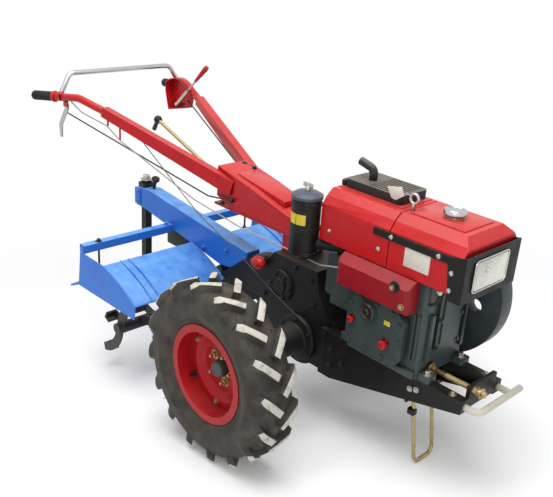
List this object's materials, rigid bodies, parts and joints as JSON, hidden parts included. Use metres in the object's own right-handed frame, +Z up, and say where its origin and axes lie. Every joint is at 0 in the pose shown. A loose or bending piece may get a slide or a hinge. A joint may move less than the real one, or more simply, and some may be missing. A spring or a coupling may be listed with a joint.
{
  "type": "walking tractor with rotary tiller",
  "caption": "Two-wheeled walk-behind tractor with a front-mounted horizontal diesel engine, lugged tyres, long handlebars and a rear rotary tiller, parked nose-down on its front stand",
  "frame": {"origin": "on the floor under the middle of the bounding box", "axes": "+X forward, +Y to the left side, +Z up; the tractor itself is tipped 6 degrees nose-down about its axle"},
  "size_m": [2.1725, 1.106, 1.2128],
  "materials": {
    "red_paint": "gloss",
    "dark_red_paint": "gloss",
    "blue_paint": "gloss",
    "black_paint": "satin",
    "engine_grey": "satin",
    "dark_iron": "matt",
    "steel": "brushed",
    "yellow_zinc": "satin",
    "chrome": "polished",
    "tyre": "matt",
    "rubber": "matt",
    "lamp_glass": "clear"
  },
  "bodies": {
    "chassis": {"main_frame": "black_paint", "tension_rod": "yellow_zinc", "front_bumper": "steel", "engine_block": "engine_grey", "cylinder_head": "engine_grey", "gear_cover": "engine_grey", "side_cover": "dark_red_paint", "radiator_housing": "red_paint", "fuel_tank": "red_paint", "fuel_cap": "steel", "lamp_frame": "black_paint", "headlight": "lamp_glass", "muffler": "dark_iron", "exhaust_pipe": "dark_iron", "lifting_eye": "steel", "air_cleaner": "black_paint", "air_cleaner_lid": "black_paint", "gearbox": "dark_iron", "axle_housing_right": "dark_iron", "axle_housing_left": "dark_iron", "drive_belts": "rubber", "belt_guard": "red_paint", "handle_base": "red_paint", "handle_pedestal": "dark_iron", "handle_arm_right": "red_paint", "handle_arm_left": "red_paint", "grip_right": "rubber", "grip_left": "rubber", "hand_bar": "chrome", "steering_lever": "black_paint", "clutch_lever": "steel", "gear_lever": "black_paint", "steering_rod": "steel", "clutch_rod": "steel", "throttle_cable": "rubber", "tiller_case": "blue_paint", "tiller_beam": "blue_paint", "depth_post": "black_paint", "tiller_hood_right": "blue_paint", "tiller_hood_left": "blue_paint", "tiller_end_right": "blue_paint", "tiller_end_left": "blue_paint", "tiller_rear_bar": "blue_paint"},
    "wheel_right": {"tyre_right": "tyre", "rim_right": "red_paint", "hub_right": "dark_iron"},
    "wheel_left": {"tyre_left": "tyre", "rim_left": "red_paint", "hub_left": "dark_iron"},
    "stand": {"front_stand": "yellow_zinc"},
    "rotor": {"tiller_rotor": "black_paint"},
    "crank": {"flywheel": "engine_grey"},
    "clutch": {"clutch_pulley": "dark_iron"}
  },
  "joints": [
    {"name": "wheel_right_spin", "type": "hinge", "parent": "chassis", "child": "wheel_right", "pos_m": [0.314, -0.47, 0.32], "axis": [0, 1, 0], "continuous": true},
    {"name": "wheel_left_spin", "type": "hinge", "parent": "chassis", "child": "wheel_left", "pos_m": [0.314, 0.47, 0.32], "axis": [0, 1, 0], "continuous": true},
    {"name": "stand_swing", "type": "hinge", "parent": "chassis", "child": "stand", "pos_m": [0.80466, 0, 0.30061], "axis": [0, 1, 0], "range_deg": [0, 80]},
    {"name": "rotor_spin", "type": "hinge", "parent": "chassis", "child": "rotor", "pos_m": [-0.40046, 0, 0.21913], "axis": [0, 1, 0], "continuous": true},
    {"name": "crank_spin", "type": "hinge", "parent": "chassis", "child": "crank", "pos_m": [0.74432, 0, 0.56838], "axis": [0, 1, 0], "continuous": true},
    {"name": "clutch_spin", "type": "hinge", "parent": "chassis", "child": "clutch", "pos_m": [0.30768, 0, 0.5469], "axis": [0, 1, 0], "continuous": true}
  ],
  "couplings": [
    {"joint": "clutch_spin", "follows": "crank_spin", "ratio": 0.68571}
  ]
}
